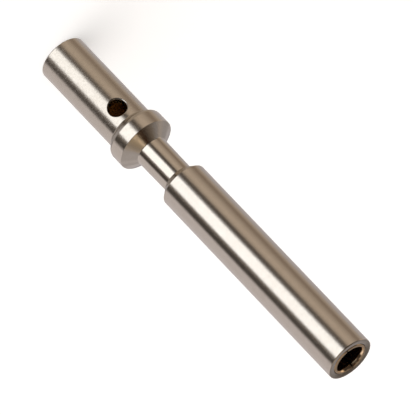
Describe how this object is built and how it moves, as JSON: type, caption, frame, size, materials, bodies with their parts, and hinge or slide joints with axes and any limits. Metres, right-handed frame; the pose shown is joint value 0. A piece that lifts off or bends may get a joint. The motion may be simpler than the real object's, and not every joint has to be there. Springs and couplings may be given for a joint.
{
  "type": "socket crimp contact",
  "caption": "Machined socket crimp contact: crimp barrel with an inspection hole, flared collar, slim neck, and a long hood over slotted spring tines that take a round pin.",
  "frame": {"origin": "centre of the rear face of the crimp barrel, which the contact stands on", "axes": "+Z along the turning axis, from the wire end up to the mouth; +X out of the inspection hole, and the slot between the tines runs along X"},
  "size_m": [0.0032, 0.0032, 0.0234],
  "materials": {
    "nickel_plated_copper_alloy": "turned copper alloy under bright nickel plating, slightly warm in tone",
    "hood_steel": "fine drawn and polished stainless steel tube"
  },
  "bodies": {
    "root": {"contact_body": "nickel_plated_copper_alloy", "hood": "hood_steel"}
  },
  "joints": []
}
